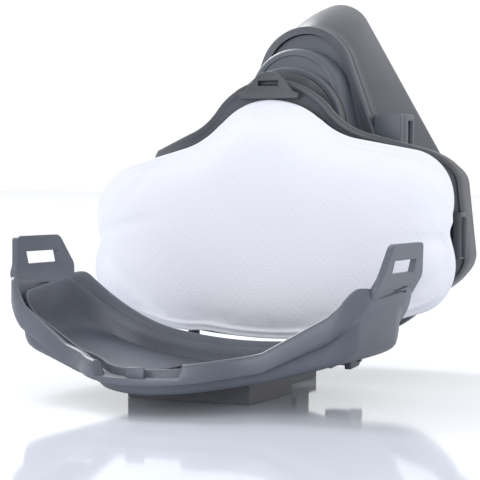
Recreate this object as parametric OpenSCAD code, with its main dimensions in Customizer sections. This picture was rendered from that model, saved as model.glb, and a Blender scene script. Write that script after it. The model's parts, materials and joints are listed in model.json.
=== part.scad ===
// Reusable half mask with a swing-open front cover and a replaceable fabric filter pad.
// The mask stands on its own opened cover: the cover lies on its back with its inside up,
// and the face piece stands on the cover's chin hinges.
//
// Two shared frames are used, and both read the same way on a worn mask:
//   u = across the face, w = back towards the face, v = up towards the nose.
// mask_place() keeps them as X, Y, Z; cover_place() turns the cover 90 degrees open.

/* [Hinge between cover and face piece] */
// Height of the hinge axis above the surface
hinge_z = 10; // [9:0.5:12]
// Distance of the hinge axis behind the origin
hinge_y = 33.4; // [30:0.2:38]
// Drop of the hinge axis below the chin line
hinge_drop = 3.8; // [3.6:0.1:4.5]
// Distance of the hinge axis in front of the zero plane of the joint face
hinge_fore = 2.8; // [2.4:0.1:3.2]
// Distance of each hinge from the middle
hinge_u = 30.75; // [28:0.25:34]
// Radius of the hinge pins
pin_r = 1.25; // [1:0.05:1.5]

/* [Outline shared by cover and filter frame] */
// Radius of the nose bump
nose_r = 27; // [24:0.5:30]
// Height of the centre of the nose bump above the chin line
nose_v = 63.5; // [60:0.5:66]
// Radius of the hollow between nose and shoulder
neck_r = 24; // [20:1:28]
// Radius of the shoulders
shoulder_r = 13; // [13:0.5:15]
// Radius of the jaw corners
jaw_r = 26; // [24:1:28]

/* [Curved joint face] */
// Position of the joint face at the middle
joint_w = 2; // [1:0.5:3]
// Radius of the nearly flat middle stretch
mid_r = 150; // [120:5:200]
// Radius of the side stretches
side_r = 42.5; // [40:0.5:46]
// Steepest slope of the joint face, reached at the ears
end_slope = 65; // [55:1:70]

/* [Cover] */
// Lowest point of the bowl on the joint scale
bowl_w = -7.5; // [-9:0.5:-6]
// Wall thickness of the bowl
bowl_t = 2; // [1.6:0.1:2.6]
// Height of the ears on the joint scale
ear_top = 37.4; // [36:0.2:40]
// Width of an ear
ear_width = 31; // [28:1:34]
// Length of the strap slot in an ear
slot_length = 18.5; // [16:0.5:20]
// Height of the strap slot in an ear
slot_height = 4.4; // [4.2:0.1:5]
// Height of the middle of the ear above the chin line
ear_v = 36; // [34:1:38]

/* [Vent foot and chin stop] */
// Width of the vent foot
foot_width = 42; // [38:1:46]
// Front edge of the vent foot
foot_front = -24; // [-28:1:-20]
// Rear edge of the vent foot
foot_rear = 10; // [6:1:12]
// Rear edge of the chin stop
heel_rear = 57; // [52:1:60]

/* [Face piece] */
// Distance of the cup wall behind the zero plane of the joint face
cup_w = 37; // [36:0.5:39]
// Distance of the cushion's sealing edge behind the same plane
seal_w = 72; // [68:1:76]
// Wall thickness of the soft cushion
cushion_t = 1.8; // [1.4:0.1:2.4]
// Height of the air port above the chin line
port_v = 66; // [64:0.5:67]
// Radius of the air port in the filter frame
port_r = 17.5; // [16:0.5:18]
// Height of the breathing-out valve above the chin line
exhale_v = 28; // [27:0.5:29]

/* [Filter pad] */
// Position of the pad's welded hem on the joint scale
hem_w = 3; // [2.8:0.1:3.2]
// Thickness of the welded hem
hem_t = 1.2; // [0.8:0.1:1.4]
// Distance of the first fold from the middle
fold_in = 22; // [21:0.5:23]
// Distance of the second fold from the middle
fold_out = 46; // [45:0.5:47]

/* [Hidden] */

$fn = 64;
GREY = "#5f636d";
DARK = "#43464f";
SOFT = "#696d77";
WHITE = "#eef0f6";
LIME = "#b9bd3a";

cover_y = hinge_y - hinge_drop;
cover_z = hinge_z + hinge_fore;
mask_y = hinge_y + hinge_fore;
mask_z = hinge_z + hinge_drop;

nose_end = 38;                                   // polar angle where the nose bump ends
neck_end = 73;                                   // polar angle where the shoulder starts
shoulder_end = 4;                                // polar angle where the side starts
jaw_end = -82;                                   // polar angle where the chin line starts
chin_v = 0.7;                                    // lowest point of the outline
chin_r = 281;                                    // radius of the chin line
nose_c = [0, nose_v];
neck_c = nose_c + (nose_r + neck_r) * [cos(nose_end), sin(nose_end)];
shoulder_c = [46.7, 54.3];
jaw_c = [35.5, 29.2];
chin_c = [0, chin_v + chin_r];

mid_half = 30;                                   // half width of the middle stretch
mid_slope = asin(mid_half / mid_r);
mid_c = [0, joint_w + mid_r];
side_c = mid_c + (mid_r - side_r) * [sin(mid_slope), -cos(mid_slope)];
tangent_run = 12;                                // straight run past the side arcs

bead_out = -1.6;                                 // rim bead, outset from the outline
land = -4;                                       // land of the cover rim, below the joint face
rib_in = 7;                                      // inner edge of the clamp rib
frame_face = 2.6;                                // front of the frame flange, behind the joint face
rim_cut = 26.5;                                  // top of the cover rim away from the ears
thin = 1;                                        // thickness of a cutter slab
fit = 0.05;                                      // radial running clearance

knuckle_r = 2.7;
knuckle_half = 1.95;                             // half width of the frame's knuckle
lug_in = 2.25;                                   // cover lugs, from the middle of a hinge
lug_out = 4.6;

neck_out = 19.5;                                 // outer radius of the port neck
neck_in = 17.5;
neck_top = 74;                                   // upper centre of the neck's long-hole shape
neck_w = [14.6, 26.3];                           // front and rear of the neck
boss_r = 21.8;                                   // lower radius of the cup's egg-shaped boss
boss_nose_r = 17;                                // upper radius of the boss
boss_top = 102.7;                                // highest point of the boss
boss_w = 24;                                     // front of the cup's boss
boss_t = 2.2;                                    // wall of the boss

// ---------- points ----------
function polar(c, r, a) = c + r * [cos(a), sin(a)];
function arc(c, r, from, to, n) = [for (i = [0:n]) polar(c, r, from + (to - from) * i / n)];
function flip(pts) = [for (i = [len(pts) - 1:-1:0]) [-pts[i].x, pts[i].y]];
function back(pts) = [for (i = [len(pts) - 1:-1:0]) pts[i]];
// A right half and its mirror image as one loop; the points on the middle line aren't repeated
function both(half, last) = concat(half, flip([for (i = [1:len(half) - 1 - last]) half[i]]));

// Right half of the shared outline, from nose to chin, moved inwards by d
function rim_half(d) = concat(
  arc(nose_c, nose_r - d, 90, nose_end, 7),
  arc(neck_c, neck_r + d, nose_end - 180, neck_end - 180, 4),
  arc(shoulder_c, shoulder_r - d, neck_end, shoulder_end, 6),
  arc(jaw_c, jaw_r - d, shoulder_end, jaw_end, 8),
  arc(chin_c, chin_r - d, jaw_end, -90, 3));
function rim(d) = both(rim_half(d), 1);

// Joint face as a curve in the u-w plane, moved back by off along its normal
function joint_half(off) = let (
    a = arc(mid_c, mid_r - off, -90, mid_slope - 90, 3),
    b = arc(side_c, side_r - off, mid_slope - 90, end_slope - 90, 9),
    e = polar(b[9], tangent_run, end_slope))
  concat(a, [for (i = [1:9]) b[i]], [e]);
function joint_line(off) = let (h = joint_half(off)) concat(flip([for (i = [1:len(h) - 1]) h[i]]), h);
function band(a, b) = concat(joint_line(a), back(joint_line(b)));

// Underside of the bowl, with the same middle radius but no steep sides
function bowl_line(off) = arc([0, bowl_w + mid_r], mid_r - off, -90 - 26, -90 + 26, 14);

// Right half of a face outline: a nose circle and a cheek circle with their common tangent
function face_half(nose_top, r1, side_u, side_v, r2, d) = let (
    c1 = [0, nose_top - r1],
    c2 = [side_u - r2, side_v],
    gap_v = c2 - c1,
    a = atan2(gap_v.y, gap_v.x) + acos((r1 - r2) / norm(gap_v)))
  concat(arc(c1, r1 - d, 90, a, 6), arc(c2, r2 - d, a, -90, 9));
function face(nose_top, r1, side_u, side_v, r2, d) = both(face_half(nose_top, r1, side_u, side_v, r2, d), 0);
function boss_outline(d) = both(face_half(boss_top, boss_nose_r, boss_r, port_v, boss_r, d), 1);
function cup_outline(d) = face(108.5, 15, 41, 24, 15, d);
function cushion_front(d) = face(111, 17, 43.5, 24, 17, d);
function cushion_rear(d) = face(122.6, 13, 52, 38, 30, d);

// Right half of the filter pad's outline, moved inwards by d
pad_nose_c = [0, 57.5];
pad_nose_r = 26;
pad_lobe_c = [50.6, 47.5];
pad_lobe_r = 14;
pad_toe_c = [51.2, 25];
pad_toe_r = 13;
function pad_half(d) = concat(
  arc(pad_nose_c, pad_nose_r - d, 90, 45, 5),
  arc(pad_nose_c + (pad_nose_r + 20) * [cos(45), sin(45)], 20 + d, -135, -102, 3),
  arc(pad_lobe_c, pad_lobe_r - d, 78, -20, 7),
  arc(pad_toe_c, pad_toe_r - d, 25, -75, 7),
  [[10, 2.2 + d]]);
function pad(d) = both(pad_half(d), 0);

// ---------- placing and extruding ----------
module cover_place() translate([0, cover_y, cover_z]) rotate([90, 0, 0]) children();
module mask_place() translate([0, mask_y, mask_z]) children();
// A u-v outline extruded along w, a w-v outline along u, and a u-w outline along v
module along_w(from, to) translate([0, to, 0]) rotate([90, 0, 0]) linear_extrude(to - from) children();
module along_u(from, to) translate([from, 0, 0]) rotate([90, 0, 90]) linear_extrude(to - from) children();
module along_v(from, to) translate([0, 0, from]) linear_extrude(to - from) children();
module box(u, w, v) translate([u[0], w[0], v[0]]) cube([u[1] - u[0], w[1] - w[0], v[1] - v[0]]);
module disc(r, w, v) translate([0, w[1], v]) rotate([90, 0, 0]) cylinder(r = r, h = w[1] - w[0]);
module across(r, u, w, v) translate([u[0], w, v]) rotate([0, 90, 0]) cylinder(r = r, h = u[1] - u[0], $fn = 32);
// A slab that follows the joint face between the offsets a and b, inside the outline d
module rim_slab(d, a, b) intersection() {
  along_v(-10, 100) polygon(band(a, b));
  along_w(-30, 70) polygon(rim(d));
}
module rim_ring(d_out, d_in, a, b) difference() {
  rim_slab(d_out, a, b);
  along_w(-40, 80) polygon(rim(d_in));
}
// Long hole between two heights
module long_hole(r, v1, v2, w) along_w(w[0], w[1]) union() {
  translate([0, v1]) circle(r);
  translate([0, v2]) circle(r);
  translate([-r, v1]) square([2 * r, v2 - v1]);
}

// ---------- cover ----------
module bowl(d, off) intersection() {
  along_v(-10, 100) polygon(concat(bowl_line(off), back(joint_line(land - bowl_t + off))));
  along_w(-30, 70) polygon(rim(d));
}
// Space inside the clamp rib, down to the bowl's floor
module tray_space() intersection() {
  along_v(-10, 100) polygon(concat(bowl_line(bowl_t), [[70, 70], [-70, 70]]));
  along_w(-30, 75) polygon(rim(rib_in));
}
// An ear follows the joint face, then bends upright
ear_off = [land - 0.4, land + 1.6];
ear_bend = 8.8;                                  // radius of the bend, on the joint face itself
ear_slope = 60;                                  // slope where the bend starts
ear_c = polar(side_c, side_r - ear_bend, ear_slope - 90);
function ear_half(off) = concat(
  arc(side_c, side_r - off, 0.5 * ear_slope - 90, ear_slope - 90, 5),
  [for (i = [1:4]) polar(ear_c, ear_bend - off, (ear_slope - 90) * (1 - i / 4))],
  [[ear_c.x + ear_bend - off, 50]]);
function ear_line(side, off) = [for (p = ear_half(off)) [side * p.x, p.y]];
module ear_plan() polygon([
  [20, ear_v - ear_width / 2 - 14], [rim_cut, ear_v - ear_width / 2 - 7],
  [ear_top, ear_v - ear_width / 2], [ear_top, ear_v + ear_width / 2],
  [rim_cut, ear_v + ear_width / 2 + 1], [20, ear_v + ear_width / 2 + 8]]);
module ear(side) difference() {
  intersection() {
    along_v(-10, 100) polygon(concat(ear_line(side, ear_off[0]), back(ear_line(side, ear_off[1]))));
    along_u(min(side * 50, side * 75), max(side * 50, side * 75)) ear_plan();
  }
  box([-90, 90], [ear_slot_w - slot_height / 2, ear_slot_w + slot_height / 2],
      [ear_v - slot_length / 2, ear_v + slot_length / 2]);
}
ear_slot_w = ear_top - 7.2;
notch_half = 10;                                 // half width of the latch notch in the bead
module hinge_lugs(side) for (at = [[-lug_out, -lug_in], [lug_in, lug_out]]) {
  u = [side * hinge_u + at[0], side * hinge_u + at[1]];
  across(knuckle_r, u, -hinge_fore, -hinge_drop);
  box(u, [-hinge_fore - knuckle_r, 0.4], [-hinge_drop, 7]);
}
peg_v = [88.3, 89.5];
module latch_peg() box([-3, 3], [-3.5, joint_w - 0.8], peg_v);

// The bowl meets the rim plate's underside; the ears meet the rim's two ends
module cover_bowl() color(GREY) cover_place() difference() {
  bowl(rib_in - 2.4, 0);
  bowl(rib_in - 0.4, bowl_t);
  tray_space();
  air_window(0);
}
module cover_rim() color(GREY) cover_place() difference() {
  union() {
    intersection() {
      union() {
        rim_ring(bead_out, rib_in, land - bowl_t, land);
        rim_ring(bead_out, 1.4, land - bowl_t, -0.4);
        rim_ring(rib_in - 2, rib_in, land - bowl_t, -1.9);
        ear(-1);
        ear(1);
      }
      box([-90, 90], [-30, rim_cut], [-10, 100]);
    }
    hinge_lugs(-1);
    hinge_lugs(1);
    latch_peg();
  }
  difference() {
    box([-notch_half, notch_half], [joint_w + land, 10], [86, 100]);
    latch_peg();
  }
  for (side = [-1, 1]) across(pin_r + 0.02, [side * hinge_u - 6, side * hinge_u + 6], -hinge_fore, -hinge_drop);
}
module ear_end(side) intersection() {
  ear(side);
  box([-90, 90], [rim_cut, 60], [-10, 100]);
}
module ear_left() color(GREY) cover_place() ear_end(-1);
module ear_right() color(GREY) cover_place() ear_end(1);

// Window in the bowl's floor over the vent foot
window_half = [16, 12];
foot_v = [cover_y - foot_rear, cover_y - foot_front];
module air_window(shrink) box([shrink - window_half.x, window_half.x - shrink], [-20, -2],
  [(foot_v[0] + foot_v[1]) / 2 - window_half.y + shrink, (foot_v[0] + foot_v[1]) / 2 + window_half.y - shrink]);

foot_wall = 2.2;
module vent_foot() color(DARK) cover_place() difference() {
  box([-foot_width / 2, foot_width / 2], [-cover_z, 0], foot_v);
  box([foot_wall - foot_width / 2, foot_width / 2 - foot_wall], [-cover_z - thin, 1],
      [foot_v[0] + foot_wall, foot_v[1] - foot_wall]);
  along_v(-10, 100) polygon(concat(bowl_line(-0.02), [[70, 30], [-70, 30]]));
}
grille_pitch = 5;
module vent_grille() color(DARK) cover_place() union() {
  difference() {
    intersection() {
      air_window(0.1);
      along_v(-10, 100) polygon(concat(bowl_line(-1.4), back(bowl_line(bowl_t))));
    }
    air_window(1.8);
  }
  for (u = [-2:2]) intersection() {
    air_window(0.6);
    along_v(-10, 100) polygon(concat(bowl_line(0.2), back(bowl_line(bowl_t - 0.2))));
    box([u * grille_pitch - 0.8, u * grille_pitch + 0.8], [-20, 0], [0, 90]);
  }
}
heel_half = 11;
stop_z = 12.2;
module chin_stop() color(DARK) difference() {
  union() {
    box([-heel_half, heel_half], [foot_rear + 0.02, heel_rear], [0, 4.6]);
    box([-heel_half, heel_half], [38.6, 50], [4, stop_z]);
  }
  for (side = [-1, 1]) box([side * 5.6 - 3.8, side * 5.6 + 3.8], [41, 47.6], [2, 20]);
}
module hinge_pin(side) across(pin_r, [side * hinge_u - 5.6, side * hinge_u + 5.6], -hinge_fore, -hinge_drop);
module hinge_pin_left() color(DARK) cover_place() hinge_pin(-1);
module hinge_pin_right() color(DARK) cover_place() hinge_pin(1);

// ---------- filter frame ----------
frame_depth = 13;                                // rear face of the frame's back plate
arm_w = [6.9, 9];                                // upright leg of a hinge arm
module hinge_arm(side) {
  u = [side * hinge_u - knuckle_half, side * hinge_u + knuckle_half];
  across(knuckle_r, u, -hinge_fore, -hinge_drop);
  box(u, [-hinge_fore, arm_w[1]], [-hinge_drop - 1.6, -hinge_drop + 1.6]);
  box(u, arm_w, [-hinge_drop - 1.6, 4]);
}
module filter_frame() color(DARK) mask_place() difference() {
  union() {
    rim_ring(0, 9, frame_face, frame_face + 2);
    rim_ring(0, 2.2, frame_face - 0.6, frame_face + 3);
    rim_ring(2.5, 4.5, frame_face + 1, frame_depth);
    rim_slab(4.4, frame_depth - 2, frame_depth);
    hinge_arm(-1);
    hinge_arm(1);
  }
  disc(port_r, [0, 40], port_v);
  for (side = [-1, 1]) across(pin_r + fit, [side * hinge_u - 4, side * hinge_u + 4], -hinge_fore, -hinge_drop);
  box([-8.6, 8.6], [0, joint_w + frame_face + 1.4], [84.4, 95]);
}
module support_grid() color(DARK) mask_place() intersection() {
  rim_slab(4.6, 5, 6.2);
  union() {
    along_w(0, 60) difference() {
      polygon(rim(4.6));
      polygon(rim(7));
    }
    for (u = [-4:4]) box([u * 12 - 0.7, u * 12 + 0.7], [0, 60], [0, 90]);
    for (v = [1:6]) box([-60, 60], [0, 60], [v * 12 - 0.7, v * 12 + 0.7]);
  }
}
lug_v = [28.8, 44.8];
lug_end = 61.5;                                  // just short of the closed cover's ears
module side_lug(side) intersection() {
  along_v(lug_v[0], lug_v[1]) polygon(band(-1.7, frame_face - 0.62));
  box([min(side * 50, side * lug_end), max(side * 50, side * lug_end)], [26.5, 33], lug_v);
}
module side_lug_left() color(DARK) mask_place() side_lug(-1);
module side_lug_right() color(DARK) mask_place() side_lug(1);

// Springy tab at the top of the frame: its slot drops over the cover's peg
latch_v = [85.4, 92];
module nose_latch() color(DARK) mask_place() difference() {
  union() {
    along_w(joint_w - 0.6, joint_w + 1.6) intersection() {
      translate([0, latch_v[1] - 12]) circle(12);
      translate([-8, latch_v[0]]) square([16, 10]);
    }
    box([-6, 6], [joint_w + 1.6, joint_w + 3.2], [85.4, 86.9]);
  }
  box([-4, 4], [0, 10], [peg_v[0] - 0.4, peg_v[1] + 0.4]);
}

// ---------- air port ----------
module port_neck() color(DARK) mask_place() difference() {
  intersection() {
    long_hole(neck_out, port_v, neck_top, neck_w);
    along_v(0, 120) polygon(band(frame_depth, 35));
  }
  long_hole(neck_in, port_v, neck_top, [17.2, 40]);
  disc(port_r, [0, 40], port_v);
}
module lock_ring() color(GREY) mask_place() difference() {
  long_hole(neck_out + 2, port_v, neck_top, [16.8, 20.6]);
  long_hole(neck_out + fit, port_v, neck_top, [10, 40]);
}
module neck_gasket() color("#2c2d31") mask_place() difference() {
  long_hole(neck_out + 1.4, port_v, neck_top, [21.4, boss_w - 0.05]);
  long_hole(neck_out + fit, port_v, neck_top, [10, 40]);
}
seat_w = [9.9, 12.4];
module inhale_valve_seat() color(LIME) mask_place() union() {
  difference() {
    disc(18.6, seat_w, port_v);
    disc(15.4, [0, 40], port_v);
  }
  disc(2.6, [seat_w[0], seat_w[0] + 2.4], port_v);
  for (a = [0:60:120]) translate([0, seat_w[0], port_v]) rotate([0, a, 0])
    translate([-16, 0, -0.7]) cube([32, 1.4, 1.4]);
}
disc_w = [12.8, 13.6];
module inhale_valve_disc() color(LIME) mask_place() disc(16.6, disc_w, port_v);

// ---------- face piece ----------
module face_cup() color(GREY) mask_place() difference() {
  union() {
    along_w(cup_w, cup_w + 2.5) polygon(cup_outline(0));
    along_w(cup_w, cup_w + 9) difference() {
      polygon(cup_outline(0));
      polygon(cup_outline(2));
    }
  }
  along_w(30, cup_w + 8) polygon(boss_outline(boss_t));
  disc(12.2, [30, 50], exhale_v);
}
module cup_boss() color(GREY) mask_place() difference() {
  along_w(boss_w, cup_w) polygon(boss_outline(0));
  along_w(boss_w + 2.4, cup_w + 1) polygon(boss_outline(boss_t));
  long_hole(neck_out + fit, port_v, neck_top, [10, boss_w + 3]);
}
ring_w = [35, cup_w + 5.1];
module clamp_ring() color(SOFT) mask_place() difference() {
  along_w(ring_w[0], ring_w[1]) polygon(cup_outline(-3));
  along_w(30, 50) polygon(cup_outline(-0.05));
}
lip_w = ring_w[1] + 0.1;
module face_cushion() color(SOFT) mask_place() difference() {
  hull() {
    along_w(lip_w, lip_w + thin) polygon(cushion_front(0));
    along_w(seal_w - thin, seal_w) polygon(cushion_rear(0));
  }
  hull() {
    along_w(lip_w - thin, lip_w) polygon(cup_outline(-0.05));
    along_w(seal_w - thin - cushion_t, seal_w - cushion_t) polygon(cushion_rear(cushion_t));
  }
  along_w(60, 90) polygon(cushion_rear(11));
}
loop_u = [33.6, 36.6];
loop_v = [65.5, 80];
loop_w = [42.5, 52];
module strap_loop(side) mirror([side < 0 ? 1 : 0, 0, 0]) difference() {
  union() {
    box([20, loop_u[1]], [36, loop_w[0]], loop_v);
    box(loop_u, [loop_w[0] - 2, loop_w[1]], loop_v);
  }
  box([loop_u[0] - 4, loop_u[1] + 1], [loop_w[0] + 2.4, loop_w[1] - 2.4],
    [loop_v[0] + 2.8, loop_v[1] - 2.8]);
  along_w(20, 60) polygon(cup_outline(-3.02));
}
module strap_loop_left() color(GREY) mask_place() strap_loop(-1);
module strap_loop_right() color(GREY) mask_place() strap_loop(1);

// ---------- breathing-out valve ----------
module exhale_valve_seat() color(LIME) mask_place() difference() {
  union() {
    disc(12.15, [35.6, cup_w + 2.5], exhale_v);
    disc(13, [35.6, cup_w - 0.02], exhale_v);
  }
  difference() {
    disc(10.4, [30, 50], exhale_v);
    for (a = [0, 90]) translate([0, cup_w, exhale_v]) rotate([0, a, 0])
      translate([-11, 0, -0.8]) cube([22, 1.6, 1.6]);
  }
}
module exhale_valve_disc() color(LIME) mask_place() disc(12, [34.4, 35.2], exhale_v);
module exhale_valve_cap() color(DARK) mask_place() difference() {
  disc(14.6, [29.6, cup_w - 0.02], exhale_v);
  disc(13.05, [31.2, 40], exhale_v);
  for (a = [0:45:135]) translate([0, 28, exhale_v]) rotate([0, a + 22.5, 0])
    translate([-11, 0, -1.2]) cube([22, 4, 2.4]);
}

// ---------- filter pad: a middle and two folding stretches on each side ----------
fold_gap = 0.9;                                  // half gap in the thick part at each fold
pad_inset = 11;                                  // hem width before the thick part
pad_depth = [[-3.4, 6.2], [-2.4, 6], [-1, 5.6]]; // thick part of middle, inner and outer stretch
thick_end = 49;                                  // outer end of the thick part
module pad_stretch(u, depth) {
  intersection() {
    along_w(hem_w - hem_t / 2, hem_w + hem_t / 2) polygon(pad(0));
    box([u[0] + 0.2, u[1] - 0.2], [-20, 20], [-10, 100]);
  }
  intersection() {
    along_w(depth[0], depth[1]) polygon(pad(pad_inset));
    box([max(u[0] + fold_gap, -thick_end), min(u[1] - fold_gap, thick_end)], [-20, 20], [-10, 100]);
  }
}
module filter_center() color(WHITE) mask_place() pad_stretch([-fold_in, fold_in], pad_depth[0]);
module filter_inner_left() color(WHITE) mask_place() pad_stretch([-fold_out, -fold_in], pad_depth[1]);
module filter_inner_right() color(WHITE) mask_place() pad_stretch([fold_in, fold_out], pad_depth[1]);
module filter_outer_left() color(WHITE) mask_place() pad_stretch([-80, -fold_out], pad_depth[2]);
module filter_outer_right() color(WHITE) mask_place() pad_stretch([fold_out, 80], pad_depth[2]);

cover_bowl();
cover_rim();
ear_left();
ear_right();
vent_foot();
vent_grille();
chin_stop();
hinge_pin_left();
hinge_pin_right();
filter_frame();
support_grid();
side_lug_left();
side_lug_right();
nose_latch();
port_neck();
lock_ring();
neck_gasket();
inhale_valve_seat();
inhale_valve_disc();
face_cup();
cup_boss();
clamp_ring();
face_cushion();
strap_loop_left();
strap_loop_right();
exhale_valve_seat();
exhale_valve_disc();
exhale_valve_cap();
filter_center();
filter_inner_left();
filter_inner_right();
filter_outer_left();
filter_outer_right();
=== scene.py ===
"""Looks of a reusable half mask: its soft parts, fine shapes, materials, light and camera.

Two shared frames are used, both read as on a worn mask, in millimetres:
u across the face, w back towards the face, v up towards the nose.
"""
import json
import math

import bmesh
import bpy
import numpy as np
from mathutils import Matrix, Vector, noise


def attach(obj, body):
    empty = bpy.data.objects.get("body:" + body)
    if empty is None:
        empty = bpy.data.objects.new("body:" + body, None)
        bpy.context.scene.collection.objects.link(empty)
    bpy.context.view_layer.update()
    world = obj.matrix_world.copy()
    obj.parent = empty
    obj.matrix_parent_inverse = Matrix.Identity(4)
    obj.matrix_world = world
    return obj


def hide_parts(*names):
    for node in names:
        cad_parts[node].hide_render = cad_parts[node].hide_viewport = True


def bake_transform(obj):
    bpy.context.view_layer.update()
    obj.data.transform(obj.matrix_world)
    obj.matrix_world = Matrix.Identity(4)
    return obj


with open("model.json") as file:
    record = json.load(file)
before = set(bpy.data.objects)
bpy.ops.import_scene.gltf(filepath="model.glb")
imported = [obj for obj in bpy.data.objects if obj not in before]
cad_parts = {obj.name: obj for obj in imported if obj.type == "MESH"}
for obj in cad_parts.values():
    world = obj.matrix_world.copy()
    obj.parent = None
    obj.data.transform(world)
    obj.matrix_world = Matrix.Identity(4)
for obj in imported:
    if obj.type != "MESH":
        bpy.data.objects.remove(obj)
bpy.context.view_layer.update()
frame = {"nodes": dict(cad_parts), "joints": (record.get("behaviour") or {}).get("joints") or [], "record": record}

MM = 0.001
SIDES = ((-1, "left"), (1, "right"))

# ---------- the two shared frames ----------
hinge = next(j for j in frame["joints"] if j["name"] == "cover_hinge")["pos_m"]
HINGE_DROP, HINGE_FORE, HINGE_U = 3.8, 2.8, 30.75
EYE_R = 2.7
cover_y = hinge[1] / MM - HINGE_DROP
cover_z = hinge[2] / MM + HINGE_FORE
mask_y = hinge[1] / MM + HINGE_FORE
mask_z = hinge[2] / MM + HINGE_DROP


def in_cover(p):
    """A point (u, w, v) of the opened cover, in the row frame."""
    return (p[0] * MM, (cover_y - p[2]) * MM, (cover_z + p[1]) * MM)


def in_mask(p):
    """A point (u, w, v) of the face piece, in the row frame."""
    return (p[0] * MM, (mask_y + p[1]) * MM, (mask_z + p[2]) * MM)


# ---------- the shared outline and joint face ----------
NOSE_V, NOSE_R = 63.5, 27
NECK_R = 24
SHOULDER_C, SHOULDER_R = (46.7, 54.3), 13
JAW_C, JAW_R = (35.5, 29.2), 26
CHIN_V, CHIN_R = 0.7, 281
NOSE_END, NECK_END, SHOULDER_END, JAW_END = 38, 73, 4, -82
NECK_C = ((NOSE_R + NECK_R) * math.cos(math.radians(NOSE_END)),
          NOSE_V + (NOSE_R + NECK_R) * math.sin(math.radians(NOSE_END)))

JOINT_W, MID_R, SIDE_R, MID_HALF, END_SLOPE = 2, 150, 42.5, 30, math.radians(65)
MID_SLOPE = math.asin(MID_HALF / MID_R)
SIDE_C = ((MID_R - SIDE_R) * math.sin(MID_SLOPE), JOINT_W + MID_R - (MID_R - SIDE_R) * math.cos(MID_SLOPE))


def arc(c, r, start, end, n):
    """Points on a circle between two angles in degrees, n steps apart."""
    a = np.radians(np.linspace(start, end, n + 1))
    return np.column_stack([c[0] + r * np.cos(a), c[1] + r * np.sin(a)])


def half_outline(parts):
    """One right half from arcs, without the points that two arcs share."""
    return np.vstack([parts[0]] + [p[1:] for p in parts[1:]])


def smoothstep(x):
    """Smooth ramp from 0 to 1, flat outside 0 to 1."""
    x = np.clip(x, 0, 1)
    return x * x * (3 - 2 * x)


def even_points(path, count):
    """Points spread evenly along a (u, v) path, both ends included."""
    t = np.concatenate([[0], np.cumsum(np.hypot(*np.diff(path, axis=0).T))])
    even = np.linspace(0, t[-1], count)
    return np.column_stack([np.interp(even, t, path[:, 0]), np.interp(even, t, path[:, 1])])


def rim_half(d):
    """Right half of the rim's outline from nose to chin, moved inwards by d."""
    return half_outline([
        arc((0, NOSE_V), NOSE_R - d, 90, NOSE_END, 18),
        arc(NECK_C, NECK_R + d, NOSE_END - 180, NECK_END - 180, 11),
        arc(SHOULDER_C, SHOULDER_R - d, NECK_END, SHOULDER_END, 14),
        arc(JAW_C, JAW_R - d, SHOULDER_END, JAW_END, 30),
        arc((0, CHIN_V + CHIN_R), CHIN_R - d, JAW_END, -90, 16)])


def joint_w(u, off=0.0):
    """Height of the joint face over u, moved back by off along its normal."""
    a = np.abs(np.asarray(u, float))
    mid_r, side_r = MID_R - off, SIDE_R - off
    mid = JOINT_W + MID_R - np.sqrt(np.maximum(mid_r ** 2 - a ** 2, 0))
    side = SIDE_C[1] - np.sqrt(np.maximum(side_r ** 2 - (a - SIDE_C[0]) ** 2, 0))
    end_u = SIDE_C[0] + side_r * math.sin(END_SLOPE)
    end_w = SIDE_C[1] - side_r * math.cos(END_SLOPE)
    straight = end_w + (a - end_u) * math.tan(END_SLOPE)
    return np.where(a < mid_r * math.sin(MID_SLOPE), mid, np.where(a < end_u, side, straight))


def surface_share(half):
    """How much a step inwards along the joint face shows in plan, per outline point."""
    step = np.gradient(half, axis=0)
    across = np.abs(step[:, 1]) / np.hypot(step[:, 0], step[:, 1])
    u = half[:, 0]
    slope = (joint_w(u + 0.1) - joint_w(u - 0.1)) / 0.2
    return 1 / np.sqrt(1 + (across * slope) ** 2)


SHARE = surface_share(rim_half(0))


def plan_inset(inset):
    """(u, v) of the right half, moved inwards by one distance per point."""
    far, near = rim_half(0), rim_half(10)
    return far + (near - far) * (inset / 10)[:, None]


def rim_point_rows(profile, tuck=0.0):
    """Rows of (u, w, v) along the right half, one column for each (plan inset, surface inset, offset).

    The jaw corners are moved in by tuck.
    """
    edge = rim_half(0)
    tucked = tuck * np.exp(-((edge[:, 1] - 12) / 9) ** 2) * smoothstep((edge[:, 0] - 30) / 20)
    rows = []
    for plan, along, off in profile:
        uv = plan_inset(plan + along * SHARE + tucked)
        w = joint_w(uv[:, 0], off)
        rows.append(np.column_stack([uv[:, 0], w, uv[:, 1]]))
    return np.array(rows).transpose(1, 0, 2)


def mirrored(rows):
    """The whole loop from its right half: nose, right side, chin, left side."""
    left = rows[-2:0:-1].copy()
    left[:, :, 0] *= -1
    return np.vstack([rows, left])


# ---------- meshes ----------
def new_object(name, points, faces, place, smooth_angle=35):
    """A mesh object from (u, w, v) points, smooth below smooth_angle."""
    mesh = bpy.data.meshes.new(name)
    mesh.from_pydata([place(p) for p in points], [], faces)
    mesh.validate()
    bm = bmesh.new()
    bm.from_mesh(mesh)
    bmesh.ops.remove_doubles(bm, verts=bm.verts, dist=2e-6)
    bmesh.ops.recalc_face_normals(bm, faces=bm.faces)
    bm.to_mesh(mesh)
    bm.free()
    mesh.shade_smooth()
    obj = bpy.data.objects.new(name, mesh)
    bpy.context.scene.collection.objects.link(obj)
    if smooth_angle < 180:
        mesh.set_sharp_from_angle(angle=math.radians(smooth_angle))
    return obj


def grid_faces(rows, columns, wrap_rows, wrap_columns, start=0):
    """Four-sided faces over a grid of points, closed on itself where wrapped."""
    faces = []
    for i in range(rows if wrap_rows else rows - 1):
        for j in range(columns if wrap_columns else columns - 1):
            a, b = i, (i + 1) % rows
            c, d = j, (j + 1) % columns
            faces.append([start + a * columns + c, start + b * columns + c,
                          start + b * columns + d, start + a * columns + d])
    return faces


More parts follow.
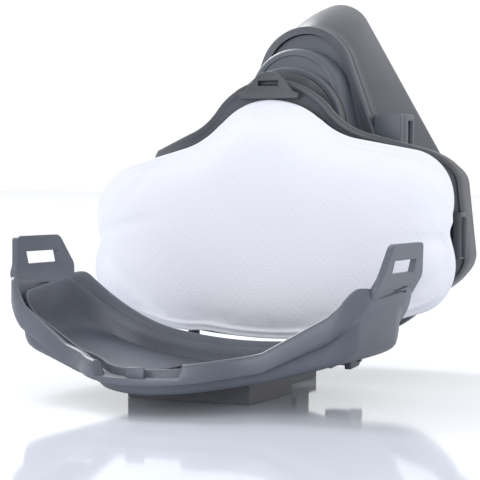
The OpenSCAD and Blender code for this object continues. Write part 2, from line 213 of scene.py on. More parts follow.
def loft(name, loops, place, closed=False, cap_first=False, cap_last=False, smooth_angle=35):
    """Skin over closed loops of equal length; the end loops may be capped."""
    loops = [np.asarray(l, float) for l in loops]
    n = len(loops[0])
    points = np.vstack(loops)
    faces = grid_faces(len(loops), n, closed, True)
    if cap_first:
        faces.append(list(range(n)))
    if cap_last:
        faces.append([(len(loops) - 1) * n + k for k in range(n)])
    return new_object(name, points.tolist(), faces, place, smooth_angle)


def join(name, parts):
    """Several closed shapes as one object."""
    bpy.ops.object.select_all(action="DESELECT")
    for p in parts:
        p.select_set(True)
    bpy.context.view_layer.objects.active = parts[0]
    bpy.ops.object.join()
    parts[0].name = name
    return parts[0]


def bevelled(obj, width, segments=2, angle=40):
    """Edges sharper than angle rounded by width, in millimetres, and the modifier applied."""
    m = obj.modifiers.new("bevel", "BEVEL")
    m.width = width * MM
    m.segments = segments
    m.limit_method = "ANGLE"
    m.angle_limit = math.radians(angle)
    m.harden_normals = False
    bpy.context.view_layer.objects.active = obj
    bpy.ops.object.modifier_apply(modifier=m.name)
    obj.data.shade_smooth()
    obj.data.set_sharp_from_angle(angle=math.radians(50))
    return obj


def carve(obj, cutter):
    """Cutter taken out of obj; the cutter is removed."""
    m = obj.modifiers.new("cut", "BOOLEAN")
    m.operation = "DIFFERENCE"
    m.solver = "EXACT"
    m.use_self = True
    m.object = cutter
    bpy.context.view_layer.objects.active = obj
    bpy.ops.object.modifier_apply(modifier=m.name)
    bpy.data.objects.remove(cutter)
    return obj


def two_sheets(rows, columns):
    """Faces of two sheets of the same grid, one after the other."""
    return (grid_faces(rows, columns, False, False)
            + grid_faces(rows, columns, False, False, rows * columns))


def block(name, u, w, v, place):
    """A box between the two values of each of u, w and v."""
    points = [(a, b, c) for a in u for b in w for c in v]
    faces = [(0, 1, 3, 2), (4, 6, 7, 5), (0, 4, 5, 1), (2, 3, 7, 6), (0, 2, 6, 4), (1, 5, 7, 3)]
    return new_object(name, points, faces, place)


def with_mirror(half_uv):
    """Closed (u, v) outline from a right half that may start or end on the middle line."""
    left = half_uv[::-1].copy()
    left[:, 0] *= -1
    keep = np.abs(left[:, 0]) > 1e-6
    return np.vstack([half_uv, left[keep]])


def at_w(uv, w):
    """A (u, v) outline as points at height w."""
    return np.column_stack([uv[:, 0], np.full(len(uv), float(w)), uv[:, 1]])


def face_half(nose_top, r1, side_u, side_v, r2, d, n1=14, n2=24):
    """A nose circle and a cheek circle with their common tangent, moved inwards by d."""
    c1 = np.array([0, nose_top - r1])
    c2 = np.array([side_u - r2, side_v])
    gap = c2 - c1
    a = math.degrees(math.atan2(gap[1], gap[0])) + math.degrees(math.acos((r1 - r2) / np.hypot(*gap)))
    nose = arc(c1, r1 - d, 90, a, n1)
    cheek = arc(c2, r2 - d, a, -90, n2)
    side = nose[-1] + (cheek[0] - nose[-1]) * np.linspace(0, 1, 16)[1:-1, None]
    bottom = cheek[-1] + (np.array([0, cheek[-1][1]]) - cheek[-1]) * np.linspace(0, 1, 8)[1:, None]
    if abs(cheek[-1][0]) < 1e-6:
        return np.vstack([nose, side, cheek])
    return np.vstack([nose, side, cheek, bottom])


# ---------- materials ----------
def fine_grain(m, scale, strength, distance):
    """A procedural bump on m; gives its coordinate, bump and shader nodes."""
    tree = m.node_tree
    shader = tree.nodes["Principled BSDF"]
    where = tree.nodes.new("ShaderNodeTexCoord")
    grain = tree.nodes.new("ShaderNodeTexNoise")
    grain.inputs["Scale"].default_value = scale
    grain.inputs["Detail"].default_value = 3
    bump = tree.nodes.new("ShaderNodeBump")
    bump.inputs["Strength"].default_value = strength
    bump.inputs["Distance"].default_value = distance
    tree.links.new(where.outputs["Object"], grain.inputs["Vector"])
    tree.links.new(grain.outputs["Fac"], bump.inputs["Height"])
    tree.links.new(bump.outputs["Normal"], shader.inputs["Normal"])
    return where, bump, shader


def moulded(name, colour, roughness, specular=0.5, mottling=0.12):
    """Satin plastic or rubber with a fine grain and slight cloudiness in its colour."""
    m = bpy.data.materials.new(name)
    m.use_nodes = True
    where, _, shader = fine_grain(m, 900, 0.25, 0.0002)
    tree = m.node_tree
    shader.inputs["Roughness"].default_value = roughness
    shader.inputs["Specular IOR Level"].default_value = specular
    cloud = tree.nodes.new("ShaderNodeTexNoise")
    cloud.inputs["Scale"].default_value = 60
    cloud.inputs["Detail"].default_value = 4
    ramp = tree.nodes.new("ShaderNodeValToRGB")
    ramp.color_ramp.elements[0].position = 0.3
    ramp.color_ramp.elements[1].position = 0.7
    ramp.color_ramp.elements[0].color = (*[c * (1 - mottling) for c in colour], 1)
    ramp.color_ramp.elements[1].color = (*[c * (1 + mottling) for c in colour], 1)
    tree.links.new(where.outputs["Object"], cloud.inputs["Vector"])
    tree.links.new(cloud.outputs["Fac"], ramp.inputs["Fac"])
    tree.links.new(ramp.outputs["Color"], shader.inputs["Base Color"])
    return m


def filter_cloth():
    """White non-woven fabric: a small embossed diamond grid, fine fibres and soft thickness."""
    m = bpy.data.materials.new("filter_cloth")
    m.use_nodes = True
    where, bump, shader = fine_grain(m, 1500, 0.35, 0.0003)
    tree = m.node_tree
    shader.inputs["Base Color"].default_value = (0.715, 0.73, 0.80, 1)
    shader.inputs["Roughness"].default_value = 0.95
    shader.inputs["Specular IOR Level"].default_value = 0.2
    shader.inputs["Sheen Weight"].default_value = 0.25
    shader.inputs["Sheen Roughness"].default_value = 0.6
    waves = []
    for turn in (45, -45):
        turned = tree.nodes.new("ShaderNodeMapping")
        turned.inputs["Rotation"].default_value = (0, math.radians(turn), 0)
        wave = tree.nodes.new("ShaderNodeTexWave")
        wave.inputs["Scale"].default_value = 160
        tree.links.new(where.outputs["Object"], turned.inputs["Vector"])
        tree.links.new(turned.outputs["Vector"], wave.inputs["Vector"])
        waves.append(wave)
    emboss = tree.nodes.new("ShaderNodeMath")
    emboss.operation = "MULTIPLY"
    tree.links.new(waves[0].outputs["Fac"], emboss.inputs[0])
    tree.links.new(waves[1].outputs["Fac"], emboss.inputs[1])
    relief = tree.nodes.new("ShaderNodeBump")
    relief.inputs["Strength"].default_value = 0.12
    relief.inputs["Distance"].default_value = 0.0003
    tree.links.new(emboss.outputs["Value"], relief.inputs["Height"])
    tree.links.new(bump.outputs["Normal"], relief.inputs["Normal"])
    tree.links.new(relief.outputs["Normal"], shader.inputs["Normal"])
    return m


def silicone(name, colour):
    """Slightly translucent silicone."""
    m = bpy.data.materials.new(name)
    m.use_nodes = True
    _, _, shader = fine_grain(m, 700, 0.15, 0.0002)
    shader.inputs["Base Color"].default_value = (*colour, 1)
    shader.inputs["Roughness"].default_value = 0.4
    shader.inputs["Subsurface Weight"].default_value = 0.15
    shader.inputs["Subsurface Radius"].default_value = (0.003, 0.003, 0.001)
    return m


COVER = moulded("cover_plastic", (0.083, 0.093, 0.118), 0.42)
FRAME = moulded("frame_plastic", (0.055, 0.057, 0.072), 0.42)
CUSHION = moulded("cushion_rubber", (0.068, 0.073, 0.094), 0.36)
GASKET = moulded("gasket_rubber", (0.03, 0.03, 0.034), 0.6)
VALVE = silicone("valve_silicone", (0.48, 0.52, 0.08))
FABRIC = filter_cloth()
FINISH = {"cover_plastic": COVER, "frame_plastic": FRAME, "cushion_rubber": CUSHION,
          "gasket_rubber": GASKET, "valve_silicone": VALVE, "filter_fabric": FABRIC}


def finished(obj, slot, body, *nodes):
    """Material, material slot, body and the CAD nodes that obj stands for."""
    obj.data.materials.clear()
    obj.data.materials.append(FINISH[slot])
    if nodes:
        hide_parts(*nodes)
    if body:
        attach(obj, body)
    return obj


# ---------- cover ----------
LAND = -4                       # land between rib and bead, off the joint face
RIB_IN, RIB_OUT = 7.2, 5.4      # edges of the clamp rib, inwards along the joint face
COVER_TOP = 26.5                # top of the rim at the sides
BOWL_W, BOWL_T = -7.5, 2        # lowest point and wall of the bowl
BEAD_ROWS = 7                   # rows of the section that make the bead's rounded top
BEAD_FADE_W, BEAD_FADE = 15, 8  # where the bead starts to fade out towards the ears, and over what height
NOTCH_HALF, NOTCH_MIN_V = 10, 75


def soft_limit(w, top, reach=4.0):
    """w levelled off smoothly below top."""
    x = (w - (top - reach)) / reach
    return np.where(x <= 0, w, top - reach + reach * np.tanh(np.maximum(x, 0)))


def bowl_floor(u, off=0.0):
    """Height of the bowl's floor over u, off above its underside."""
    r = MID_R - off
    return BOWL_W + MID_R - np.sqrt(r ** 2 - np.asarray(u, float) ** 2)


def cover_rows():
    """The cover's section all round, from the inner floor over rib, land and bead to the outer bottom.

    Each profile point is (plan inset, surface inset, offset from the joint face).
    """
    bead = [(0, 1.9, LAND), (0, 1.6, -1.4), (0, 1.1, -0.6), (0, 0.4, -0.3), (-1.0, 0, -0.3),
            (-1.6, 0, -0.8), (-1.8, 0, -1.8), (-1.8, 0, -5.2), (-1.4, 0, -6.0)]
    upper = [(0, RIB_IN + 0.2, -8.5), (0, RIB_IN, -5), (0, RIB_IN - 0.05, -2.8), (0, RIB_IN - 0.3, -2.1),
             (0, RIB_IN - 0.8, -1.8), (0, RIB_OUT + 0.3, -1.9), (0, RIB_OUT, -2.5),
             (0, RIB_OUT - 0.05, -4.3), (0, RIB_OUT - 0.8, -4.5), (0, RIB_OUT - 1.6, LAND)]
    under = [(0.4, 0, -6.1), (0, RIB_OUT - 2.0, -6.2)]
    rows = rim_point_rows(upper + bead + under)
    land_w = rows[:, len(upper), 1][:, None]
    side = smoothstep((land_w - BEAD_FADE_W) / BEAD_FADE)
    top = slice(len(upper), len(upper) + BEAD_ROWS)
    faded = np.minimum(rows[:, top, 1], land_w + 0.2)
    rows[:, top, 1] = rows[:, top, 1] * (1 - side) + faded * side
    rows[:, :, 1] = soft_limit(rows[:, :, 1], COVER_TOP)
    notch = (np.abs(rows[:, 0, 0]) < NOTCH_HALF)[:, None] & (rows[:, 0, 2] > NOTCH_MIN_V)[:, None]
    cut_down = np.minimum(rows[:, top, 1], JOINT_W + LAND + 0.1)
    rows[:, top, 1] = np.where(notch, cut_down, rows[:, top, 1])
    inner, outer = [], []
    for drop, inset in ((0.75, 0.3), (0.45, 0.7), (0.2, 1.3), (0.06, 2.4), (0, 4.2)):
        uv = plan_inset(RIB_IN * SHARE + inset)
        floor = bowl_floor(uv[:, 0], BOWL_T)
        inner.append(np.column_stack([uv[:, 0], floor + (rows[:, 0, 1] - floor) * drop, uv[:, 1]]))
    for drop, inset in ((0.8, 0.3), (0.5, 0.5), (0.25, 0.9), (0.1, 1.5), (0.03, 2.5), (0, 4.2)):
        uv = plan_inset((RIB_OUT - 2.0) * SHARE + inset)
        floor = bowl_floor(uv[:, 0])
        outer.append(np.column_stack([uv[:, 0], floor + (rows[:, -1, 1] - floor) * drop, uv[:, 1]]))
    return np.concatenate([np.array(inner[::-1]).transpose(1, 0, 2), rows,
                           np.array(outer).transpose(1, 0, 2)], axis=1)


def patch(edge_half, height, columns=36):
    """A floor between a right half and its mirror image: points and faces."""
    points, faces = [], []
    t = np.linspace(-1, 1, columns + 1)
    for u, v in edge_half[1:-1][:, [0, 2]]:
        across = t * u
        points += np.column_stack([across, height(across), np.full(len(t), v)]).tolist()
    count = len(edge_half) - 2
    faces += grid_faces(count, columns + 1, False, False)
    for end, row in ((edge_half[0], 0), (edge_half[-1], count - 1)):
        points.append([0, float(height(np.array(0.0))), end[2]])
        k = len(points) - 1
        faces += [[row * (columns + 1) + j, row * (columns + 1) + j + 1, k] for j in range(columns)]
    return points, faces


def shell_from_rows(name, half, place, inner_height, outer_height, smooth_angle=40):
    """A closed shell: the section swept round, with a floor inside and outside."""
    loop = mirrored(half)
    n, k = loop.shape[:2]
    points = loop.reshape(-1, 3).tolist()
    faces = grid_faces(n, k, True, False)
    for edge, height in ((half[:, 0], inner_height), (half[:, -1], outer_height)):
        more, tiles = patch(edge, height)
        faces += [[i + len(points) for i in f] for f in tiles]
        points += more
    return new_object(name, points, faces, place, smooth_angle)


EAR_TOP = 37.4
EAR_SLOT = (20.5, 4, 30.3, 36)  # length, height, middle w, middle v
EAR_OFF = (-4.9, -2.9)          # outer and inner face, off the joint face
EAR_ROOT, EAR_SLOPE, EAR_LEAN = math.radians(57), math.radians(60), math.radians(77)
EAR_BEND = 8.8
EAR_CORNER = 1.6


def ear_path(off, n=34):
    """(u, w) along an ear, from its root on the land to its top."""
    centre = (SIDE_C[0] + (SIDE_R - EAR_BEND) * math.sin(EAR_SLOPE),
              SIDE_C[1] - (SIDE_R - EAR_BEND) * math.cos(EAR_SLOPE))
    root = [(SIDE_C[0] + (SIDE_R - off) * math.sin(a), SIDE_C[1] - (SIDE_R - off) * math.cos(a))
            for a in np.linspace(EAR_ROOT, EAR_SLOPE, 8)]
    bend = [(centre[0] + (EAR_BEND - off) * math.sin(a), centre[1] - (EAR_BEND - off) * math.cos(a))
            for a in np.linspace(EAR_SLOPE, EAR_LEAN, 8)[1:]]
    last_u, last_w = bend[-1]
    top = [(last_u + (w - last_w) / math.tan(EAR_LEAN), w)
           for w in np.linspace(last_w, EAR_TOP, n - 14)[1:]]
    return np.array(root + bend + top)


def ear_sides(w):
    """Lowest and highest v of an ear at height w."""
    down = EAR_TOP - w
    far = 22.6 - 0.62 * min(down, 11) + 2.5 * smoothstep((down - 9) / 5)
    near = 50 + 0.36 * min(down, 8.5) + 3 * smoothstep((down - 8) / 5)
    return float(far), float(near)


def ear(side):
    """A leaning plate with rounded top corners and a strap slot."""
    columns = 31
    inner, outer = ear_path(EAR_OFF[1]), ear_path(EAR_OFF[0])
    points = []
    for path in (inner, outer):
        for u, w in path:
            far, near = ear_sides(w)
            corner = max(0, 1 - (EAR_TOP - w) / EAR_CORNER)
            corner = EAR_CORNER * (1 - math.sqrt(max(0, 1 - corner ** 2)))
            for v in np.linspace(far + corner, near - corner, columns):
                points.append([side * u, w, v])
    rows = len(inner)
    faces = two_sheets(rows, columns)
    ring = ([j for j in range(columns)]
            + [i * columns + columns - 1 for i in range(1, rows)]
            + [(rows - 1) * columns + j for j in range(columns - 2, -1, -1)]
            + [i * columns for i in range(rows - 2, 0, -1)])
    shift = rows * columns
    faces += [[a, b, b + shift, a + shift] for a, b in zip(ring, ring[1:] + ring[:1])]
    plate = new_object("ear", points, faces, in_cover)
    length, height, middle, middle_v = EAR_SLOT
    cutter = block("slot", (side * 50, side * 80), (middle - height / 2, middle + height / 2),
                   (middle_v - length / 2, middle_v + length / 2), in_cover)
    return bevelled(carve(plate, cutter), 0.45)


LUG_AT, LUG_HALF = 3.43, 1.17  # middle and half width of a cover lug, from the middle of its hinge


def hinge_lug(u):
    """One lug of the cover: a round eye over the pin with its root on the chin rim."""
    eye = arc((-HINGE_FORE, -HINGE_DROP), EYE_R, 180, 360, 14)
    outline = np.vstack([[(-6.0, 3.0)], eye, [(0.4, 3.0)]])
    loops = [np.column_stack([np.full(len(outline), u + s * LUG_HALF), outline]) for s in (-1, 1)]
    return bevelled(loft("lug", loops, in_cover, cap_first=True, cap_last=True), 0.25)


def make_cover():
    """Bowl and rim as one skin with its vent window, two ears, four hinge lugs and the latch peg."""
    shell = shell_from_rows("cover_shell", cover_rows(), in_cover,
                            lambda u: bowl_floor(u, BOWL_T), bowl_floor)
    window = block("window", (-16, 16), (-20, -4.2), (24.6, 48.6), in_cover)
    shell = bevelled(carve(shell, window), 0.25, angle=60)
    finished(shell, "cover_plastic", "cover", "cover_bowl", "cover_rim")
    for side, label in SIDES:
        plate = ear(side)
        plate.name = f"strap_ear_{label}"
        finished(plate, "cover_plastic", "cover", f"ear_{label}")
        for k, at in enumerate((-LUG_AT, LUG_AT)):
            lug = hinge_lug(side * HINGE_U + at)
            lug.name = f"hinge_lug_{label}_{k + 1}"
            finished(lug, "cover_plastic", "cover")
    peg = bevelled(block("latch_peg", (-3, 3), (-3.6, 1.2), (88.3, 89.5), in_cover), 0.3)
    finished(peg, "cover_plastic", "cover")


# ---------- filter frame ----------
FRAME_TUCK = 3.5               # how far the jaw corners are moved in behind the pad
PLATE_OFF, PLATE_T = 12, 1.8   # middle and thickness of the back plate
PORT_V, PORT_R = 66, 17.5
KNUCKLE_HALF = 1.95


def frame_plate():
    """The frame's curved back plate with its air port."""
    edge = rim_point_rows([(4.4, 0, PLATE_OFF)], FRAME_TUCK)[:, 0]
    points, faces = patch(edge, lambda u: joint_w(u, PLATE_OFF))
    plate = new_object("plate", points, faces, in_mask)
    solid = plate.modifiers.new("thick", "SOLIDIFY")
    solid.thickness = PLATE_T * MM
    solid.offset = 0
    bpy.context.view_layer.objects.active = plate
    bpy.ops.object.modifier_apply(modifier=solid.name)
    port = arc((0, PORT_V), PORT_R, 0, 360, 72)[:-1]
    carve(plate, loft("hole", [at_w(port, w) for w in (0, 40)], in_mask, cap_first=True, cap_last=True))
    plate.data.shade_smooth()
    plate.data.set_sharp_from_angle(angle=math.radians(40))
    return plate


def hinge_arms():
    """Knuckle, arm and leg at each chin hinge."""
    arms = []
    eye = arc((-HINGE_FORE, -HINGE_DROP), EYE_R, 0, 360, 28)[:-1]
    for side, _ in SIDES:
        u = (side * HINGE_U - KNUCKLE_HALF, side * HINGE_U + KNUCKLE_HALF)
        loops = [np.column_stack([np.full(len(eye), x), eye]) for x in u]
        arms.append(loft("knuckle", loops, in_mask, cap_first=True, cap_last=True))
        arms.append(bevelled(block("arm", u, (-HINGE_FORE, 9), (-5.4, -2.2), in_mask), 0.4))
        arms.append(bevelled(block("leg", u, (6.9, 9), (-5.4, 4), in_mask), 0.4))
    return arms


def make_frame():
    """The saddle-shaped frame with bead, wall, back plate and arms, and its two side catches."""
    section = [(0, 9, 2.7), (0, 2.9, 2.6), (0, 2.3, 2.3), (0, 1.7, 2.0), (0.5, 0, 2.0), (0.1, 0, 2.3),
               (0, 0, 2.8), (0, 0, 5.0), (0.2, 0, 5.5), (0.6, 0, 5.7), (1.9, 0, 5.7), (2.4, 0, 6.1),
               (2.5, 0, 7), (2.5, 0, 12.2), (2.8, 0, 12.8), (3.4, 0, 13), (4.5, 0, 13), (4.5, 0, 11),
               (4.5, 0, 4.8), (5.0, 0, 4.6), (0, 9, 4.6)]
    loop = mirrored(rim_point_rows(section, FRAME_TUCK))
    n, k = loop.shape[:2]
    faces = grid_faces(n, k, True, True)
    rim = new_object("frame_rim", loop.reshape(-1, 3).tolist(), faces, in_mask, 40)
    frame_piece = join("filter_frame_shell", [rim, frame_plate()] + hinge_arms())
    finished(frame_piece, "frame_plastic", "facepiece", "filter_frame")
    for side, label in SIDES:
        lug = block("lug", (side * 58.6, side * 61.4), (26.5, 33.6), (28.8, 44.8), in_mask)
        tooth = block("tooth", (side * 60, side * 62.6), (29.4, 31.6), (29.2, 43.4), in_mask)
        lug = join(f"catch_{label}", [bevelled(lug, 0.5), bevelled(tooth, 0.5)])
        finished(lug, "frame_plastic", "facepiece", f"side_lug_{label}")


def make_latch():
    """The springy tab: a low hump with a narrow slot for the cover's peg."""
    half, hump_half, foot_v, shoulder_v, hump = 11, 10.5, 83.6, 85.6, 7.3
    u = np.linspace(-half, half, 45)
    top = shoulder_v + hump * (0.5 + 0.5 * np.cos(np.pi * np.clip(np.abs(u) / hump_half, 0, 1) ** 1.35))
    outline = np.vstack([np.column_stack([u, top]), [[half, foot_v], [-half, foot_v]]])
    tab = loft("tab", [at_w(outline, w) for w in (1.2, 3.9)], in_mask, cap_first=True, cap_last=True)
    carve(tab, block("slot", (-3.8, 3.8), (-5, 10), (88.0, 89.8), in_mask))
    tab = bevelled(tab, 0.55, 3)
    tab.name = "latch_tab"
    finished(tab, "frame_plastic", "nose_latch", "nose_latch")


# ---------- filter pad ----------
FOLD_INNER, FOLD_OUTER, FOLD_REACH = 22, 46, 7
HEM_W = 3.0
PAD_ROWS, PAD_COLUMNS = 150, 151
PAD_SEAM = 0.034               # where inner and outer pieces meet, in metres
# Soft creases: middle u, middle v, direction in degrees, half length, depth
CREASES = ((-60, 40, 12, 16, 0.8), (-55, 24, -38, 18, 0.9), (60, 34, 0, 13, 0.9),
           (-47, 58, 50, 14, 0.5), (57, 20, 40, 14, 0.7))


def pad_half():
    """Right half of the pad's cut, nose to chin, with the little step at the cheek."""
    return half_outline([
        arc((0, 57.3), 26, 90, 47, 14),
        arc((38.9, 95.5), 28.2, -136, -103, 14),
        arc((48.8, 46.2), 17.6, 80, -14, 26),
        arc((69.6, 36.3), 4.6, 130, 205, 8),
        arc((51.5, 26.4), 15.6, 22, -72, 20),
        np.array([[56.3, 11.55], [30, 3.9]]),
        arc((0, 141), 140.2, -77.7, -90, 14)])


def distance_inside(flat, outline):
    """Distance from each point to the nearest stretch of a closed outline."""
    away = np.full(len(flat), 1e9)
    for a, b in zip(outline, np.roll(outline, -1, axis=0)):
        d = b - a
        s = np.clip(((flat - a) @ d) / max(d @ d, 1e-12), 0, 1)[:, None]
        away = np.minimum(away, np.hypot(*(flat - a - s * d).T))
    return away


def noise_field(u, v, scale_u, scale_v, seed):
    """Smooth noise over the pad; seed picks the slice of it."""
    flat = [noise.noise(Vector((x * scale_u, y * scale_v, seed))) for x, y in zip(u.ravel(), v.ravel())]
    return np.array(flat).reshape(u.shape)


def make_pad():
    """The pad: rounded edge, welded ridge near the edge, a broad crown, soft creases and a flatter back."""
    half = even_points(pad_half(), PAD_ROWS)
    half[:, 1] = np.minimum.accumulate(half[:, 1] - np.arange(len(half)) * 1e-4)
    even = np.linspace(-1, 1, PAD_COLUMNS)
    t = np.sin(even * math.pi / 2) * 0.35 + even * 0.65
    u = t[None, :] * half[:, :1]
    v = np.repeat(half[:, 1:2], PAD_COLUMNS, axis=1)
    outline = np.vstack([half, half[::-1] * [-1, 1]])
    away = distance_inside(np.column_stack([u.ravel(), v.ravel()]), outline).reshape(u.shape)
    edge = 0.55 * np.sqrt(1 - (1 - np.clip(away / 0.8, 0, 1)) ** 2)
    lower = smoothstep((26 - v) / 14)
    ridge = 0.75 * np.exp(-((away - 2.3) / 0.8) ** 2) * (0.25 + 0.75 * lower)
    height = 5.0 - 1.8 * smoothstep(np.abs(u) / 46)
    crown = height * (1 - np.exp(-(np.maximum(away - 1.8, 0) / 6.5) ** 1.4))
    wrinkle = noise_field(u, v, 0.028, 0.022, 0.3) * 0.9 + noise_field(u, v, 0.07, 0.05, 5.1) * 0.35
    pucker = noise_field(u, v, 0.24, 0.24, 9.4)
    near_edge = np.exp(-((away - 4.5) / 4.0) ** 2)
    front = HEM_W - edge - ridge - crown - wrinkle * smoothstep(away / 12) - 0.35 * pucker * near_edge
    for cu, cv, turn, reach, depth in CREASES:
        cos, sin = math.cos(math.radians(turn)), math.sin(math.radians(turn))
        along = (u - cu) * cos + (v - cv) * sin
        off = -(u - cu) * sin + (v - cv) * cos
        front += depth * np.exp(-(off / 2.2) ** 2 - (along / reach) ** 2) * smoothstep(away / 4)
    back = HEM_W + edge + 2.6 * (1 - np.exp(-(np.maximum(away - 1.0, 0) / 9) ** 1.5))
    # the pad sits a little askew: right side up, left corner fuller and lower
    shown_v = v + 0.05 * u * smoothstep(v / 60) * smoothstep(np.abs(u) / 20)
    shown_v -= 3 * smoothstep((-u - 20) / 20) * smoothstep((34 - v) / 24)
    shown_u = u - 1.2 * smoothstep((-u - 30) / 35)
    points = np.vstack([np.column_stack([shown_u.ravel(), w.ravel(), shown_v.ravel()])
                        for w in (front, back)]).tolist()
    faces = two_sheets(PAD_ROWS, PAD_COLUMNS)
    whole = new_object("pad_whole", points, faces, in_mask, 180)
    split_pad(whole)


def split_pad(whole):
    """The pad as four pieces, split at the middle and 34 mm out on each side, shaded as one."""
    mesh = whole.data
    normals = np.array([tuple(n.vector) for n in mesh.vertex_normals])
    co = np.array([tuple(v.co) for v in mesh.vertices])
    centre = np.array([np.mean([co[i][0] for i in p.vertices]) for p in mesh.polygons])
    limits = [-1, -PAD_SEAM, 0, PAD_SEAM, 1]
    pieces = [("outer", -1, "left"), ("inner", -1, "left"), ("inner", 1, "right"), ("outer", 1, "right")]
    for k, (part_of, side, label) in enumerate(pieces):
        inner_body = f"filter_inner_{label}"
        if part_of == "inner":
            near, far, fold, nodes = "facepiece", inner_body, FOLD_INNER, [inner_body, "filter_center"]
        else:
            near, far, fold = inner_body, f"filter_outer_{label}", FOLD_OUTER
            nodes = [far]
        name = f"filter_pad_{part_of}_{label}"
        chosen = [p for p in mesh.polygons if limits[k] <= centre[p.index] < limits[k + 1]]
        used = sorted({i for p in chosen for i in p.vertices})
        new = {old: i for i, old in enumerate(used)}
        part = bpy.data.meshes.new(name)
        part.from_pydata([tuple(co[i]) for i in used], [], [[new[i] for i in p.vertices] for p in chosen])
        part.shade_smooth()
        part.normals_split_custom_set_from_vertices([tuple(normals[i]) for i in used])
        piece = bpy.data.objects.new(name, part)
        bpy.context.scene.collection.objects.link(piece)
        finished(piece, "filter_fabric", None, *nodes)
        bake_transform(piece)
    bpy.data.objects.remove(whole)


# ---------- face piece ----------
# Egg outlines: nose top, nose radius, cheek u, cheek v, cheek radius
CUP = (108.5, 15, 41, 24, 15)
BOSS = (102.7, 17, 21.8, 66, 21.8)
CUSHION_FRONT = (111, 17, 43.5, 24, 17)
CUSHION_REAR = (122.6, 13, 52, 38, 30)
LIP_W, SEAL_W, LIP_R = 42.2, 72, 2.2


def between(t, bulge=0.0, d=0.0):
    """Cushion outline at share t from front to rear, pushed out a little in the middle."""
    front, rear = face_half(*CUSHION_FRONT, d), face_half(*CUSHION_REAR, d)
    uv = front + (rear - front) * t
    step = np.gradient(uv, axis=0)
    out = np.column_stack([-step[:, 1], step[:, 0]])
    out /= np.maximum(np.hypot(*out.T), 1e-9)[:, None]
    out[0] = (0, 1)
    out[-1] = (0, -1)
    return with_mirror(uv + out * bulge)


def make_cushion():
    """The soft skirt from its front edge over the rounded sealing lip and back inside."""
    straight = SEAL_W - LIP_R - LIP_W
    loops = []
    for t in np.linspace(0, 1, 15):
        groove = 0.5 * math.exp(-((t - 0.10) / 0.04) ** 2)
        bulge = 1.3 * math.sin(math.pi * t) + (0.5 if t < 0.02 else 0) - groove
        loops.append(at_w(between(t, bulge), LIP_W + straight * t))
    for a in np.linspace(0, math.pi / 2, 9)[1:]:
        loops.append(at_w(between(1, 0, LIP_R * (1 - math.cos(a))), SEAL_W - LIP_R + LIP_R * math.sin(a)))
    for d, down in ((6, 0.2), (9.6, 1.6), (10.8, 2.8), (10.6, 3.6), (5, 2.9), (2.6, 5.0)):
        loops.append(at_w(between(1, 0, d), SEAL_W - down))
    for t in np.linspace(0.85, 0, 8):
        loops.append(at_w(between(t, 0, 2.4), LIP_W + straight * t))
    piece = loft("cushion_skirt", loops, in_mask, closed=True, smooth_angle=60)
    finished(piece, "cushion_rubber", "facepiece", "face_cushion")


def egg_loop(spec, w, d):
    """An egg outline at height w, moved inwards by d."""
    return at_w(with_mirror(face_half(*spec, d)), w)


def make_bead():
    """The double bead that clamps the cushion round the cup."""
    section = [(-0.2, 35.2), (-2.2, 35.0), (-2.8, 35.4), (-3, 36.2), (-3, 38.4), (-2.6, 39.0), (-2.3, 39.4),
               (-2.6, 39.8), (-3.0, 40.4), (-3.0, 41.4), (-2.6, 42.0), (-2.0, 42.1), (-0.2, 42.1)]
    piece = loft("clamp_bead", [egg_loop(CUP, w, d) for d, w in section], in_mask, closed=True)
    finished(piece, "cushion_rubber", "facepiece", "clamp_ring")


def make_boss():
    """The cup's raised boss: a wall with a rounded front edge, and a face with a long hole."""
    section = [(0, 37), (0, 26.2), (0.25, 25.1), (0.8, 24.4), (1.7, 24.0), (2.5, 24.0), (2.5, 24.8),
               (2.3, 26.4), (2.3, 37)]
    piece = loft("boss_shell", [egg_loop(BOSS, w, d) for d, w in section], in_mask, closed=True)
    finished(piece, "cover_plastic", "facepiece", "cup_boss")
    face = [egg_loop(BOSS, w, d) for d, w in ((2.3, 26.2), (2.3, 24.6), (2.9, 24.3))]
    hole = long_hole_loop(COLLAR_HOLE_R, len(face[0]))
    face += [at_w(hole, w) for w in (24.3, 26.2)]
    plate = loft("boss_face", face, in_mask, closed=True)
    finished(plate, "cover_plastic", "facepiece")


COLLAR_HOLE_R, COLLAR_LOW, COLLAR_HIGH = 19.6, 66, 74


def long_hole_loop(r, n):
    """Round-ended long hole as a clockwise loop from its top, with n even points."""
    full = with_mirror(np.vstack([arc((0, COLLAR_HIGH), r, 90, 0, 30), arc((0, COLLAR_LOW), r, 0, -90, 30)]))
    return even_points(np.vstack([full, full[:1]]), n + 1)[:-1]


def make_lock_ring():
    """The grooved, round-ended collar that holds the cup on the frame."""
    section = [(COLLAR_HOLE_R, 17.0), (20.9, 16.8), (21.4, 17.2), (21.5, 17.9), (21.2, 18.5), (21.2, 18.9),
               (21.5, 19.4), (21.4, 20.2), (20.9, 20.6), (COLLAR_HOLE_R, 20.6)]
    loops = [at_w(long_hole_loop(r, 132), w) for r, w in section]
    piece = loft("lock_collar", loops, in_mask, closed=True)
    finished(piece, "cover_plastic", "facepiece", "lock_ring")


def make_strap_loops():
    """A foot against the cup and an upright bar with its slot, on each side."""
    for side, label in SIDES:
        foot = block("foot", (side * 26, side * 36.2), (36.6, 42.6), (66.5, 79.4), in_mask)
        bar = block("bar", (side * 33.8, side * 36.4), (40, 51.6), (65.8, 79.6), in_mask)
        carve(bar, block("slot", (side * 30, side * 40), (44.9, 49.6), (68.3, 77.2), in_mask))
        loops = [egg_loop(CUP, w, -2.6) for w in (20, 60)]
        carve(foot, loft("cup", loops, in_mask, cap_first=True, cap_last=True))
        piece = join(f"strap_bracket_{label}", [bevelled(foot, 0.6, 3), bevelled(bar, 0.7, 3)])
        finished(piece, "cover_plastic", "facepiece", f"strap_loop_{label}")


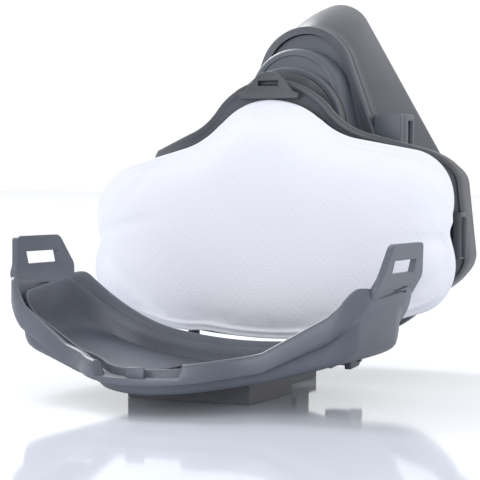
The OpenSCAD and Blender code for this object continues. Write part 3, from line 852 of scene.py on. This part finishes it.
# ---------- camera, floor and light ----------
VIEW_AZIMUTH = math.radians(24.4)
VIEW_ELEVATION = math.radians(0.8)
VIEW_DISTANCE = 0.56
VIEW_TARGET = Vector((0, 0.01, 0.06))
VIEW_ROLL = math.radians(0.4)
LENS, SENSOR, SHIFT = 127.3, 36, (0.0125, -0.0667)


def make_camera():
    """The camera, slightly to the right and nearly level."""
    data = bpy.data.cameras.new("camera")
    data.lens = LENS
    data.sensor_width = SENSOR
    data.shift_x, data.shift_y = SHIFT
    camera = bpy.data.objects.new("camera", data)
    bpy.context.scene.collection.objects.link(camera)
    outward = Vector((math.sin(VIEW_AZIMUTH) * math.cos(VIEW_ELEVATION),
                      -math.cos(VIEW_AZIMUTH) * math.cos(VIEW_ELEVATION),
                      math.sin(VIEW_ELEVATION)))
    camera.location = VIEW_TARGET + outward * VIEW_DISTANCE
    camera.rotation_euler = outward.to_track_quat("Z", "Y").to_euler()
    camera.rotation_euler.rotate_axis("Z", VIEW_ROLL)
    bpy.context.scene.camera = camera


def area_light(name, place, target, size, power):
    """A rectangular light at place, turned towards target."""
    data = bpy.data.lights.new(name, "AREA")
    data.shape = "RECTANGLE"
    data.size, data.size_y = size
    data.energy = power
    light = bpy.data.objects.new(name, data)
    bpy.context.scene.collection.objects.link(light)
    light.location = place
    light.rotation_euler = (Vector(place) - Vector(target)).to_track_quat("Z", "Y").to_euler()


def make_stage():
    """White surroundings, a pale polished floor and two lamps."""
    scene = bpy.context.scene
    scene.view_settings.view_transform = "Standard"
    world = bpy.data.worlds.new("world")
    world.use_nodes = True
    back = world.node_tree.nodes["Background"]
    back.inputs["Color"].default_value = (1, 1, 1, 1)
    back.inputs["Strength"].default_value = 1.05
    scene.world = world
    bpy.ops.mesh.primitive_plane_add(size=24, location=(0, 0, -0.0001))
    floor = bpy.context.object
    floor.name = "floor"
    m = bpy.data.materials.new("floor")
    m.use_nodes = True
    shader = m.node_tree.nodes["Principled BSDF"]
    shader.inputs["Base Color"].default_value = (0.78, 0.82, 0.91, 1)
    shader.inputs["Roughness"].default_value = 0.07
    shader.inputs["IOR"].default_value = 2.5
    floor.data.materials.append(m)
    centre = (0, 0.03, 0.06)
    area_light("rim", (-0.5, 0.4, 0.6), centre, (0.3, 0.4), 5)
    area_light("fill", (0.15, -0.85, 0.1), centre, (1.0, 0.5), 5)


make_camera()
make_stage()
for row in frame["record"]["subparts"]:
    node = frame["nodes"][row["node"]]
    node.data.materials.clear()
    node.data.materials.append(FINISH[row["material_slot"]])
make_cover()
make_frame()
make_latch()
make_pad()
make_cushion()
make_bead()
make_boss()
make_lock_ring()
make_strap_loops()
